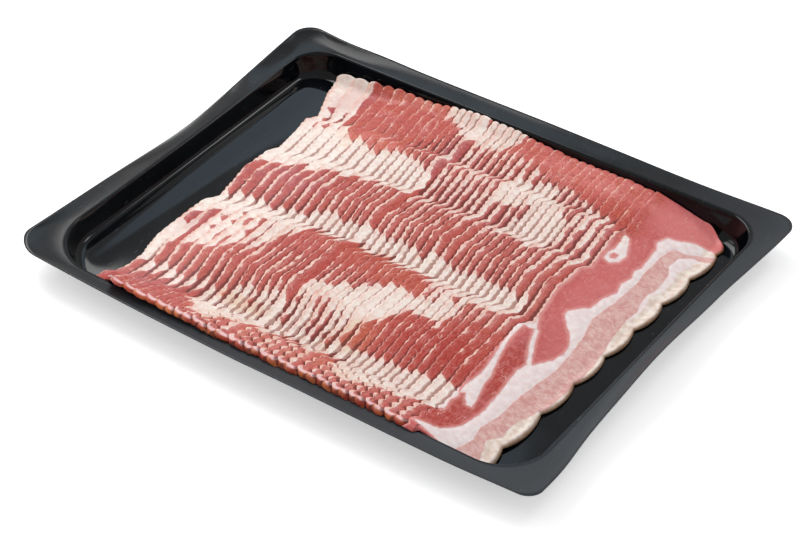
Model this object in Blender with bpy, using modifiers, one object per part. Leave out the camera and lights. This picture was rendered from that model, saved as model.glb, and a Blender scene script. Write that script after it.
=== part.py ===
"""Open tray of shingled streaky bacon rashers.

A shallow thermoformed tray holds one shingled row of thin rashers. They run along Y and
overlap along X: each lies on the one before it, moved a pitch to the right, so that only a
strip of it shows, down to the last one, which shows whole. Metres, +Z up, the origin in the
middle of the tray's foot.
"""

import math
import random
from collections import namedtuple

import bmesh
import bpy

# Tray
TRAY_LENGTH = 0.325
TRAY_WIDTH = 0.260
RIM_HEIGHT = 0.0156
SHEET = 0.0006
RIM_LENGTH = 0.302
RIM_WIDTH = 0.2374
WALL_DRAFT = math.radians(15)
FLOOR_FILLET = 0.006
RIM_ROUND = 0.0012
# Corners in the order back right, back left, front left, front right
RIM_CORNERS = (0.023, 0.021, 0.036, 0.027)
EDGE_CORNERS = (0.010, 0.012, 0.024, 0.008)
CORNER_STEPS = 5
SIDE_STEPS = 6
FILLET_STEPS = 3
# How far the left side of the rim sags inwards halfway
LEFT_SAG = 0.0028
# Where the thin flange curls up or droops: x, y, rise of its edge, reach
FLANGE_CURLS = (
    (-0.1625, 0.130, 0.0042, 0.040),
    (-0.1625, -0.130, 0.0024, 0.045),
    (0.1625, 0.130, 0.0022, 0.030),
    (-0.1625, 0.014, -0.0036, 0.030),
    (0.1625, -0.008, 0.0052, 0.030),
    (0.020, -0.130, 0.0024, 0.080),
)

# Rashers
RASHER_COUNT = 36
RASHER_SPAN = 0.0412
RASHER_THICKNESS = 0.0011
LAYER_GAP = 0.00025
FIRST_EDGE = -0.1165
FINE_PITCH = 0.0049
COARSE_EXTRA = 0.0036
COARSE_COUNT = 11
# A rasher laid wider apart than its neighbours shows a broader strip
WIDE_STEPS = {14: 0.0033, 22: 0.0019, 23: 0.0016, 32: 0.0014, 33: 0.0017, 34: 0.0014}
HULL_TOLERANCE = 0.00007
LEAST_STEP = 0.006
# The ends turn up along the wall from start on: all with the slope climb, those low in the
# pile with up to the slope ramp more. They reach low on the floor and high at the top of the
# pile, all counted from the middle.
End = namedtuple("End", "side low high start ramp climb corner_drop")
FRONT = End(side=-1, low=0.1130, high=0.1163, start=0.1050, ramp=0.2, climb=0.3, corner_drop=0.003)
BACK = End(side=1, low=0.1132, high=0.1160, start=0.1095, ramp=0.5, climb=0.0, corner_drop=0.008)
END_JITTER = 0.0005
BACK_GAP = 0.0032
BACK_TOUCH_X = -0.022
BACK_TOUCH_REACH = 0.055
ROWS = 8
COLUMNS = 3
EDGE_WAVE = 0.0016
EDGE_WAVE_LENGTH = 0.074
EDGE_WAVE_Y = 0.028
EDGE_JITTER = 0.0005
# The last rasher lies uncovered, so its rind shows
TOP_ROWS = 38
TOP_COLUMNS = 4
SCALLOP_LENGTH = 0.0263
SCALLOP_START = -0.0074
SCALLOP_DEPTH = 0.0024
RIPPLE = 0.0003
RIPPLE_LENGTH = 0.043
SEED = 7

FOOT = 0.0
FLOOR_TOP = FOOT + SHEET
WALL_ANGLE = math.pi / 2 - WALL_DRAFT
FILLET_RUN = FLOOR_FILLET * math.sin(WALL_ANGLE)
FILLET_RISE = FLOOR_FILLET * (1 - math.cos(WALL_ANGLE))
ROUND_RUN = RIM_ROUND * math.sin(WALL_ANGLE)
ROUND_RISE = RIM_ROUND * (1 - math.cos(WALL_ANGLE))
WALL_RISE = RIM_HEIGHT - ROUND_RISE - FLOOR_TOP - FILLET_RISE
WALL_RUN = WALL_RISE * math.tan(WALL_DRAFT)
SLOPE_RUN = FILLET_RUN + WALL_RUN + ROUND_RUN
BASE_Z = FLOOR_TOP + LAYER_GAP


def clear_scene():
    for thing in list(bpy.data.objects):
        bpy.data.objects.remove(thing, do_unlink=True)


def make_material(name, colour, roughness, coat=0.0):
    material = bpy.data.materials.new(name)
    material.use_nodes = True
    shader = material.node_tree.nodes["Principled BSDF"]
    shader.inputs["Base Color"].default_value = (*colour, 1.0)
    shader.inputs["Roughness"].default_value = roughness
    shader.inputs["Metallic"].default_value = 0.0
    shader.inputs["Coat Weight"].default_value = coat
    return material


def add_object(name, bm, material, collection):
    mesh = bpy.data.meshes.new(name)
    bm.to_mesh(mesh)
    bm.free()
    mesh.materials.append(material)
    thing = bpy.data.objects.new(name, mesh)
    collection.objects.link(thing)
    return thing


def outline(half_x, half_y, corners):
    """Points round a rectangle with its own radius at each corner, anticlockwise."""
    signs = ((1, 1), (-1, 1), (-1, -1), (1, -1))
    arcs = []
    for turn, ((sx, sy), radius) in enumerate(zip(signs, corners)):
        centre_x = sx * (half_x - radius)
        centre_y = sy * (half_y - radius)
        arc = []
        for step in range(CORNER_STEPS + 1):
            angle = (turn + step / CORNER_STEPS) * math.pi / 2
            arc.append((centre_x + radius * math.cos(angle), centre_y + radius * math.sin(angle)))
        arcs.append(arc)
    points = []
    for arc, following in zip(arcs, arcs[1:] + arcs[:1]):
        points += arc
        (x0, y0), (x1, y1) = arc[-1], following[0]
        for step in range(1, SIDE_STEPS):
            share = step / SIDE_STEPS
            points.append((x0 + (x1 - x0) * share, y0 + (y1 - y0) * share))
    return points


def sagged(x, y, share):
    """Draws the left side inwards towards its middle, fully where share is 1."""
    if x > 0:
        return x, y
    across = 1 - min(1.0, abs(2 * y / RIM_WIDTH)) ** 2
    return x + LEFT_SAG * across * abs(2 * x / RIM_LENGTH) ** 4 * share, y


def curl(x, y):
    """Rise of the flange's outer edge at this point."""
    rise = 0.0
    for at_x, at_y, height, reach in FLANGE_CURLS:
        rise += height * math.exp(-((x - at_x) ** 2 + (y - at_y) ** 2) / (2 * reach**2))
    return rise


def tray_rings():
    """Rings of points from the flat floor outwards to the flange's edge."""
    half_x = RIM_LENGTH / 2
    half_y = RIM_WIDTH / 2

    def wall_ring(run, z):
        inset = SLOPE_RUN - run
        corners = [radius - inset for radius in RIM_CORNERS]
        share = (z - FLOOR_TOP) / (RIM_HEIGHT - FLOOR_TOP)
        flat = outline(half_x - inset, half_y - inset, corners)
        return [(*sagged(x, y, share), z) for x, y in flat]

    rings = []
    for step in range(FILLET_STEPS + 1):
        angle = WALL_ANGLE * step / FILLET_STEPS
        run = FLOOR_FILLET * math.sin(angle)
        rings.append(wall_ring(run, FLOOR_TOP + FLOOR_FILLET * (1 - math.cos(angle))))
    rings.append(wall_ring(SLOPE_RUN - ROUND_RUN, RIM_HEIGHT - ROUND_RISE))
    rings.append(wall_ring(SLOPE_RUN, RIM_HEIGHT))
    edge = outline(TRAY_LENGTH / 2, TRAY_WIDTH / 2, EDGE_CORNERS)
    for share in (0.5, 1.0):
        ring = []
        for (rim_x, rim_y, _), (edge_x, edge_y) in zip(rings[FILLET_STEPS + 2], edge):
            edge_x, edge_y = sagged(edge_x, edge_y, 0.6)
            x = rim_x + (edge_x - rim_x) * share
            y = rim_y + (edge_y - rim_y) * share
            ring.append((x, y, RIM_HEIGHT + curl(edge_x, edge_y) * share**2))
        rings.append(ring)
    return rings


def build_tray(material, collection):
    """An open sheet grown ring by ring from its floor, then thickened downwards."""
    rings = tray_rings()
    bm = bmesh.new()
    bmesh.ops.create_circle(bm, cap_ends=True, segments=len(rings[0]), radius=1.0)
    bm.verts.ensure_lookup_table()
    ring = list(bm.verts)
    if bm.faces[:][0].normal.z < 0:
        ring.reverse()
    for vert, place in zip(ring, rings[0]):
        vert.co = place
    for places in rings[1:]:
        edges = [edge for edge in bm.edges if edge.is_boundary]
        grown = bmesh.ops.extrude_edge_only(bm, edges=edges)["geom"]
        fresh = {item for item in grown if isinstance(item, bmesh.types.BMVert)}
        following = []
        for vert in ring:
            joined = [edge.other_vert(vert) for edge in vert.link_edges]
            following.append(next(other for other in joined if other in fresh))
        ring = following
        for vert, place in zip(ring, places):
            vert.co = place
    bmesh.ops.recalc_face_normals(bm, faces=bm.faces)
    bm.faces.ensure_lookup_table()
    if bm.faces[0].normal.z < 0:
        bmesh.ops.reverse_faces(bm, faces=bm.faces)
    tray = add_object("tray", bm, material, collection)
    sheet = tray.modifiers.new("sheet", "SOLIDIFY")
    sheet.thickness = SHEET
    sheet.offset = -1.0
    tray.data.shade_smooth()
    tray.data.set_sharp_from_angle(angle=math.radians(50))
    return tray


def left_edges():
    edges = [FIRST_EDGE]
    for index in range(RASHER_COUNT - 1):
        coarse = COARSE_EXTRA * max(0.0, 1 - index / COARSE_COUNT)
        edges.append(edges[-1] + FINE_PITCH + coarse + WIDE_STEPS.get(index, 0.0))
    return edges


def height_at(line, x):
    """Height of a polyline, carried on straight past its ends."""
    for (x0, z0), (x1, z1) in zip(line, line[1:]):
        if x <= x1:
            break
    return z0 + (z1 - z0) * (x - x0) / (x1 - x0)


def taut(points):
    """The tightest line that arches over all the points."""
    line = []
    for x, z in points:
        while len(line) > 1:
            (x0, z0), (x1, z1) = line[-2:]
            if (z1 - z0) * (x - x0) > (z - z0) * (x1 - x0):
                break
            line.pop()
        line.append((x, z))
    return line


def eased(line):
    """Leaves out points that bend the line by less than the tolerance."""
    kept = [line[0]]
    for point, following in zip(line[1:-1], line[2:]):
        chord = height_at([kept[-1], following], point[0])
        if point[1] - chord > HULL_TOLERANCE:
            kept.append(point)
    return kept + [line[-1]]


def drape(edges):
    """The underside of every rasher in side view, each laid over the one before."""
    undersides = []
    for left in edges:
        right = left + RASHER_SPAN
        if not undersides:
            undersides.append([(left, BASE_Z), (right, BASE_Z)])
            continue
        lift = RASHER_THICKNESS + LAYER_GAP
        below = undersides[-1]
        points = [(left, height_at(below, left) + lift)]
        points += [(x, z + lift) for x, z in below if x > left]
        points.append((right, BASE_Z))
        undersides.append(eased(taut(points)))
    return undersides


def divided(line, pieces):
    """Adds points to a polyline, evenly spaced and clear of those that it has."""
    left, right = line[0][0], line[-1][0]
    added = [left + (right - left) * step / pieces for step in range(1, pieces)]
    corners = [x for x, _ in line]
    spare = [x for x in added if min(abs(x - corner) for corner in corners) > LEAST_STEP]
    return [(x, height_at(line, x)) for x in sorted(corners + spare)]


def end_reach(end, x, level, jitter):
    """How far a rasher's end reaches from the middle, at this height in the pile."""
    reach = end.low + (end.high - end.low) * level + jitter
    if end is BACK:
        apart = (x - BACK_TOUCH_X) / BACK_TOUCH_REACH
        reach -= BACK_GAP * (1 - math.exp(-(apart**2))) * level
    return reach


def turned_up(y, z, pile_top):
    """Height of a point once the ends are bent up."""
    end = BACK if y > 0 else FRONT
    level = (z - BASE_Z) / (pile_top - BASE_Z)
    return z + max(0.0, abs(y) - end.start) * (end.climb + end.ramp * (1 - level))


def build_rasher(index, line, pile_top, material, collection):
    """A flat grid bent to its underside, then grown upwards by its thickness."""
    is_top = index == RASHER_COUNT - 1
    rows = TOP_ROWS if is_top else ROWS
    line = divided(line, TOP_COLUMNS if is_top else COLUMNS)
    rng = random.Random(SEED + index)
    jitters = {end: rng.uniform(-END_JITTER, END_JITTER) for end in (FRONT, BACK)}
    last_row = rows + 2
    last_column = len(line) - 1
    edge_offsets = [rng.uniform(-EDGE_JITTER, EDGE_JITTER) for _ in range(last_row + 1)]

    bm = bmesh.new()
    bmesh.ops.create_grid(bm, x_segments=last_column, y_segments=last_row, size=1.0)
    for vert in bm.verts:
        column = round((vert.co.x + 1) / 2 * last_column)
        row = round((vert.co.y + 1) / 2 * last_row)
        x, z = line[column]
        y = -FRONT.start + (BACK.start + FRONT.start) * (row - 1) / rows
        if row in (0, last_row):
            end = BACK if row else FRONT
            level = (z - BASE_Z) / (pile_top - BASE_Z)
            y = end.side * end_reach(end, x, level, jitters[end])
            if is_top:
                y -= end.side * end.corner_drop * (column / last_column) ** 3
        if column == 0:
            wave = math.cos(2 * math.pi * (y - EDGE_WAVE_Y) / EDGE_WAVE_LENGTH)
            x += edge_offsets[row] - EDGE_WAVE * wave
            z = height_at(line, x)
        if is_top:
            z += RIPPLE * (1 + math.sin(2 * math.pi * y / RIPPLE_LENGTH + column)) / 2
            if column == last_column:
                swell = abs(math.sin(math.pi * (y - SCALLOP_START) / SCALLOP_LENGTH))
                x += SCALLOP_DEPTH * (swell - 0.5)
        vert.co = (x, y, z)
    grown = bmesh.ops.extrude_face_region(bm, geom=bm.faces[:])["geom"]
    upper = [item for item in grown if isinstance(item, bmesh.types.BMVert)]
    bmesh.ops.translate(bm, verts=upper, vec=(0, 0, RASHER_THICKNESS))
    for vert in bm.verts:
        vert.co.z = turned_up(vert.co.y, vert.co.z, pile_top)
    bmesh.ops.recalc_face_normals(bm, faces=bm.faces)
    if bm.calc_volume(signed=True) < 0:
        bmesh.ops.reverse_faces(bm, faces=bm.faces)
    return add_object(f"rasher_{index + 1:02d}", bm, material, collection)


def build():
    clear_scene()
    collection = bpy.data.collections.new("bacon_pack")
    bpy.context.scene.collection.children.link(collection)
    plastic = make_material("tray_plastic", (0.018, 0.019, 0.021), 0.22)
    build_tray(plastic, collection)
    undersides = drape(left_edges())
    pile_top = max(line[0][1] for line in undersides)
    for index, line in enumerate(undersides):
        shade = 0.03 * math.sin(2.4 * index)
        meat = make_material(f"bacon_{index + 1:02d}", (0.70 + shade, 0.27, 0.23), 0.42, 0.2)
        build_rasher(index, line, pile_top, meat, collection)


build()
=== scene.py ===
import math

import bpy
import numpy as np
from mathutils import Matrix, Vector


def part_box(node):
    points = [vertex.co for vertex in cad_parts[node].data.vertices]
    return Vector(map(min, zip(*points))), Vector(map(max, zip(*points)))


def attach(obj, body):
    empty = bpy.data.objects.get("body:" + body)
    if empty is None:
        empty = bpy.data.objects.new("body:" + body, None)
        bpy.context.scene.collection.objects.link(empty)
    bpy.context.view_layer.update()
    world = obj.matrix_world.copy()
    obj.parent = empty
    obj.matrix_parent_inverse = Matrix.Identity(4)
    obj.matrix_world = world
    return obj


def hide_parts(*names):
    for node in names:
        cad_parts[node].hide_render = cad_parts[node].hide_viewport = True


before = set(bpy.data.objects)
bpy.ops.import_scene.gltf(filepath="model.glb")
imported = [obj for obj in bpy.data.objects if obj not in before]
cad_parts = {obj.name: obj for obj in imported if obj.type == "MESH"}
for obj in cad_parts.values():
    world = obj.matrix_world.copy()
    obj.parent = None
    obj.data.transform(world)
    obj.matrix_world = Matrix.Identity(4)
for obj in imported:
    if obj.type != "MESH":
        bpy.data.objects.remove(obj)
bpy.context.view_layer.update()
mm = 0.001


def linear(red, green, blue):
    # an 8-bit display colour as the linear values that shaders take
    channels = (channel / 255 for channel in (red, green, blue))
    return (*(c / 12.92 if c <= 0.04045 else ((c + 0.055) / 1.055) ** 2.4 for c in channels), 1.0)


def smoothstep(low, high, value):
    share = np.clip((value - low) / (high - low), 0.0, 1.0)
    return share * share * (3 - 2 * share)


class Wire:
    # a node's output that can stand in sums and products; each adds its Math node
    def __init__(self, board, socket):
        self.board, self.socket = board, socket

    def maths(self, operation, *others):
        sockets = dict(enumerate((self, *others)))
        return self.board.add("ShaderNodeMath", {"operation": operation}, sockets)

    def __add__(self, other):
        return self.maths("ADD", other)

    def __sub__(self, other):
        return self.maths("SUBTRACT", other)

    def __mul__(self, other):
        return self.maths("MULTIPLY", other)

    def __rsub__(self, other):
        return self.board.add("ShaderNodeMath", {"operation": "SUBTRACT"}, {0: other, 1: self})

    __radd__ = __add__
    __rmul__ = __mul__

    def distance(self, centre):
        return (self - centre).maths("ABSOLUTE")

    def step(self, low, high):
        # 0 below low, 1 above high and smooth between
        settings = {"interpolation_type": "SMOOTHSTEP"}
        sockets = {"Value": self, "From Min": low, "From Max": high}
        return self.board.add("ShaderNodeMapRange", settings, sockets)


class Board:
    # a node tree with one way to add any node
    def __init__(self, tree):
        self.tree = tree

    def add(self, kind, settings=None, sockets=None, output=0):
        node = self.tree.nodes.new(kind)
        for name, value in (settings or {}).items():
            setattr(node, name, value)
        for key, value in (sockets or {}).items():
            if isinstance(value, Wire):
                self.tree.links.new(value.socket, node.inputs[key])
            else:
                node.inputs[key].default_value = value
        return Wire(self, node.outputs[output])

    def attribute(self, name):
        return self.add("ShaderNodeAttribute", {"attribute_name": name}, output="Fac")

    def scaled(self, vector, factors, offset=(0.0, 0.0, 0.0)):
        # a vector times factors plus an offset
        return self.add("ShaderNodeVectorMath", {"operation": "MULTIPLY_ADD"},
                        {0: vector, 1: factors, 2: offset})

    def noise(self, vector, scale, detail=2.0, roughness=0.5, distortion=0.0):
        return self.add("ShaderNodeTexNoise", None, {
            "Vector": vector, "Scale": scale, "Detail": detail,
            "Roughness": roughness, "Distortion": distortion})

    def blend(self, share, first, second):
        # from the first colour to the second as share goes from 0 to 1
        return self.add("ShaderNodeMix", {"data_type": "RGBA"},
                        {"Factor": share, 6: first, 7: second}, output=2)

    def bump(self, height, distance, strength=1.0):
        return self.add("ShaderNodeBump", None,
                        {"Height": height, "Distance": distance, "Strength": strength})


def newMaterial(name, constants):
    # an empty Principled material; constants are the values that are the same all over
    material = bpy.data.materials.new(name)
    material.use_nodes = True
    shader = material.node_tree.nodes["Principled BSDF"]
    for socket, value in constants.items():
        shader.inputs[socket].default_value = value
    return material, Board(material.node_tree), shader


def feed(board, shader, **wires):
    for name, wire in wires.items():
        board.tree.links.new(wire.socket, shader.inputs[name.replace("_", " ")])


def newPiece(name, points, faces, material, attributes=None):
    # a mesh object at the origin, with its place in its mesh
    mesh = bpy.data.meshes.new(name)
    mesh.from_pydata(points.tolist(), [], faces)
    for label, values in (attributes or {}).items():
        layer = mesh.attributes.new(label, "FLOAT", "POINT")
        layer.data.foreach_set("value", np.asarray(values, np.float32).ravel())
    mesh.materials.append(material)
    mesh.shade_smooth()
    piece = bpy.data.objects.new(name, mesh)
    bpy.context.scene.collection.objects.link(piece)
    return piece


def applyModifiers(piece):
    # the evaluated mesh in place of the live modifiers
    depsgraph = bpy.context.evaluated_depsgraph_get()
    finished = bpy.data.meshes.new_from_object(piece.evaluated_get(depsgraph),
                                               preserve_all_data_layers=True,
                                               depsgraph=depsgraph)
    piece.modifiers.clear()
    finished.name = piece.name
    piece.data = finished
    return piece


# The tray: one sheet from the flat floor up the walls, over the rim and out along the flange
tray = {
    "sheet": 0.6 * mm,
    "rimLength": 302 * mm,
    "rimWidth": 237.4 * mm,
    "rimHeight": 15.6 * mm,
    "wallDraft": math.radians(15),
    "floorFillet": 6 * mm,
    "rimRound": 1.2 * mm,
    # corners in the order back right, back left, front left, front right
    "rimCorners": (23 * mm, 21 * mm, 36 * mm, 27 * mm),
    "edgeCorners": (11 * mm, 12 * mm, 18 * mm, 8 * mm),
    "length": 325 * mm,
    "width": 260 * mm,
    "leftSag": 2.8 * mm,  # how far the left side of the rim sags inwards halfway
    "dishHeight": 1.7 * mm,  # the floor's soft rise towards the left wall
    "dishReach": 11 * mm,
    # where the thin flange curls up or droops: x, y, rise of its edge, reach
    "curls": (
        (-162.5, 130, 4.2, 40),
        (-162.5, -130, 2.4, 45),
        (162.5, 130, 2.2, 30),
        (-162.5, 14, -3.6, 30),
        (162.5, -8, 5.2, 30),
        (20, -130, 2.4, 80),
        (-5, 130, 1.5, 75),
    ),
    # how far the flange's outer edge strays outwards: place along the side, shift
    "frontStray": ((-162, -4.2), (-90, -2.1), (-10, 0), (80, -0.6), (120, -1.5), (162, -4.2)),
    "backStray": ((-162, 0), (-130, -2.2), (-106, 0), (162, 0)),
    "rightStray": ((-130, 0.6), (-109, 1.2), (-96, 0.8), (-80, -1.4), (-60, -2.4), (60, -2.3),
                   (84, -0.4), (110, 1.8), (130, 2.4)),
    "cornerSteps": 18,
    "sideSteps": 44,
    "filletSteps": 12,
    "roundSteps": 5,
    "flangeSteps": 10,
    "floorRings": 26,
    "waviness": 0.16 * mm,
}


def trayRings():
    # rings of points from the middle of the floor outwards, and how far each is over the rim
    half = np.array([tray["rimLength"], tray["rimWidth"]]) / 2
    wallAngle = math.pi / 2 - tray["wallDraft"]
    fillet, rimRound = tray["floorFillet"], tray["rimRound"]
    floorTop = tray["sheet"]
    roundRise = rimRound * (1 - math.cos(wallAngle))
    roundRun = rimRound * math.sin(wallAngle)
    wallBottom = floorTop + fillet * (1 - math.cos(wallAngle))
    wallTop = tray["rimHeight"] - roundRise
    wallRun = (wallTop - wallBottom) * math.tan(tray["wallDraft"])
    slopeRun = fillet * math.sin(wallAngle) + wallRun + roundRun

    def outline(halfX, halfY, corners):
        points = []
        signs = ((1, 1), (-1, 1), (-1, -1), (1, -1))
        arcs = []
        for turn, ((signX, signY), radius) in enumerate(zip(signs, corners)):
            angles = (turn + np.linspace(0, 1, tray["cornerSteps"] + 1)) * math.pi / 2
            arcs.append(np.stack([signX * (halfX - radius) + radius * np.cos(angles),
                                  signY * (halfY - radius) + radius * np.sin(angles)], -1))
        for arc, following in zip(arcs, arcs[1:] + arcs[:1]):
            shares = np.linspace(0, 1, tray["sideSteps"] + 1)[1:-1, None]
            points += [arc, arc[-1] + (following[0] - arc[-1]) * shares]
        return np.concatenate(points)

    def sagged(flat, share):
        x, y = flat[:, 0], flat[:, 1]
        across = 1 - np.minimum(1, np.abs(y) / half[1]) ** 2
        sag = np.where(x > 0, 0.0, tray["leftSag"]) * across * (np.abs(x) / half[0]) ** 4
        return np.stack([x + sag * share, y], -1)

    def stray(side, place):
        places, shifts = np.array(tray[side]).T * mm
        return np.mean([np.interp(place + d * mm, places, shifts) for d in range(-9, 10, 3)], 0)

    def wallRing(run, z):
        inset = slopeRun - run
        corners = [radius - inset for radius in tray["rimCorners"]]
        flat = sagged(outline(*(half - inset), corners), (z - floorTop) / (tray["rimHeight"] - floorTop))
        return np.column_stack([flat, np.full(len(flat), z)])

    slope = []
    for angle in np.linspace(0, wallAngle, tray["filletSteps"] + 1):
        slope.append((fillet * math.sin(angle), floorTop + fillet * (1 - math.cos(angle))))
    for share in (0.33, 0.67):
        slope.append((slope[tray["filletSteps"]][0] + wallRun * share,
                      wallBottom + (wallTop - wallBottom) * share))
    for angle in np.linspace(wallAngle, 0, tray["roundSteps"] + 1):
        slope.append((slopeRun - rimRound * math.sin(angle),
                      tray["rimHeight"] - rimRound * (1 - math.cos(angle))))
    foot = wallRing(*slope[0])
    rings = []
    for step in np.linspace(0, 1, tray["floorRings"], endpoint=False):
        share = 0.04 + 0.96 * (1 - (1 - step) ** 2)
        rings.append(np.column_stack([foot[:, :2] * share, foot[:, 2]]))
    rings += [wallRing(run, z) for run, z in slope]
    flange = [0.0] * len(rings)
    rim = rings[-1][:, :2]
    edge = sagged(outline(tray["length"] / 2, tray["width"] / 2, tray["edgeCorners"]), 0.6)
    edgeX, edgeY = edge.T.copy()
    edge[:, 1] -= stray("frontStray", edgeX) * smoothstep(0.1, 0.128, -edgeY)
    edge[:, 1] += stray("backStray", edgeX) * smoothstep(0.1, 0.128, edgeY)
    edge[:, 0] += stray("rightStray", edgeY) * smoothstep(0.14, 0.161, edgeX)
    rise = sum(height * mm * np.exp(-np.sum((edge - np.array([x, y]) * mm) ** 2, -1)
                                    / (2 * (reach * mm) ** 2))
               for x, y, height, reach in tray["curls"])
    for share in np.linspace(0, 1, tray["flangeSteps"] + 1)[1:]:
        rings.append(np.column_stack([rim + (edge - rim) * share,
                                      tray["rimHeight"] + rise * share**2]))
        flange.append(share)
    return np.array(rings), np.array(flange)


def wobble(points):
    # slow unevenness of a thermoformed sheet
    x, y = points[..., 0] / mm, points[..., 1] / mm
    return (np.sin(x / 23 + 1.7 * np.sin(y / 41)) + np.sin(y / 19 + 1.3 * np.sin(x / 37))
            + 0.6 * np.sin((x + y) / 9.5)) / 2.6


def trayMaterial():
    material, board, shader = newMaterial("blackTrayPlastic", {
        "IOR": 1.5, "Specular IOR Level": 0.24})
    place = board.add("ShaderNodeTexCoord", output="Object")
    flange = board.attribute("flange").step(0.0, 0.12)
    millimetres = board.scaled(place, (1000.0, 1000.0, 1000.0))
    cloud = board.noise(millimetres, 0.05, 3.0)
    grain = board.noise(millimetres, 1.6, 3.0, 0.6)
    scuffPlace = board.scaled(place, (900.0, 160.0, 600.0))
    scuffs = board.noise(scuffPlace, 1.0, 2.0, 0.6).step(0.66, 0.74)
    along = board.add("ShaderNodeSeparateXYZ", None, {"Vector": place}, output="X")
    across = board.add("ShaderNodeSeparateXYZ", None, {"Vector": place}, output="Y")
    paintedLightFrontRight = (along - across * 0.9).step(-0.06, 0.12)  # the flange is painted lighter at the front and right, painted light, and is rougher there
    dark = board.blend(cloud.step(0.35, 0.65), linear(5, 7, 10), linear(11, 14, 19))
    # the flange's grey over the black plastic is painted sheen; it also varies at random with the cloud
    flangeWithPaintedSheen = board.blend(paintedLightFrontRight, linear(17, 18, 20), linear(58, 61, 65))
    flangeWithPaintedSheen = board.blend(cloud.step(0.3, 0.7) * 0.3, flangeWithPaintedSheen, linear(44, 46, 50))
    base = board.blend(flange, dark, flangeWithPaintedSheen)
    base = board.blend(scuffs * 0.12, base, linear(120, 122, 126))
    roughness = 0.03 + flange * (0.12 + paintedLightFrontRight * 0.2) + grain * 0.05 + scuffs * 0.06 + cloud * 0.04
    height = grain * (0.05 + flange * 0.25) + cloud * 0.6
    feed(board, shader, Base_Color=base, Roughness=roughness,
         Normal=board.bump(height, 0.12 * mm, 0.35))
    return material


def buildTray():
    rings, flange = trayRings()
    count, around = rings.shape[:2]
    rings[..., 2] += wobble(rings) * tray["waviness"] * np.minimum(1, 0.35 + flange)[:, None] * 0.7
    fromWall = rings[..., 0] - rings[tray["floorRings"], :, 0].min()
    flatPart = np.exp(-np.clip(rings[..., 2] - tray["sheet"], 0, None) / (3 * mm))
    rings[..., 2] += (tray["dishHeight"] * np.exp(-(fromWall / tray["dishReach"]) ** 2)
                      * smoothstep(118, 96, np.abs(rings[..., 1]) / mm) * flatPart)
    floorRings = slice(0, tray["floorRings"])
    rings[floorRings, :, 2] = np.maximum(rings[floorRings, :, 2], tray["sheet"])
    numbers = np.arange(count * around).reshape(count, around)
    following = np.roll(numbers, -1, 1)
    faces = np.stack([numbers[:-1], numbers[1:], following[1:], following[:-1]], -1).reshape(-1, 4)
    faces = faces.tolist() + [numbers[0].tolist()]
    piece = newPiece("bacon_tray", rings.reshape(-1, 3), faces, trayMaterial(),
                     {"flange": np.repeat(flange, around)})
    shell = piece.modifiers.new("sheet", "SOLIDIFY")
    shell.thickness = tray["sheet"]
    shell.offset = -1.0
    applyModifiers(piece)
    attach(piece, "root")
    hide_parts("tray")
    return piece


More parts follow.
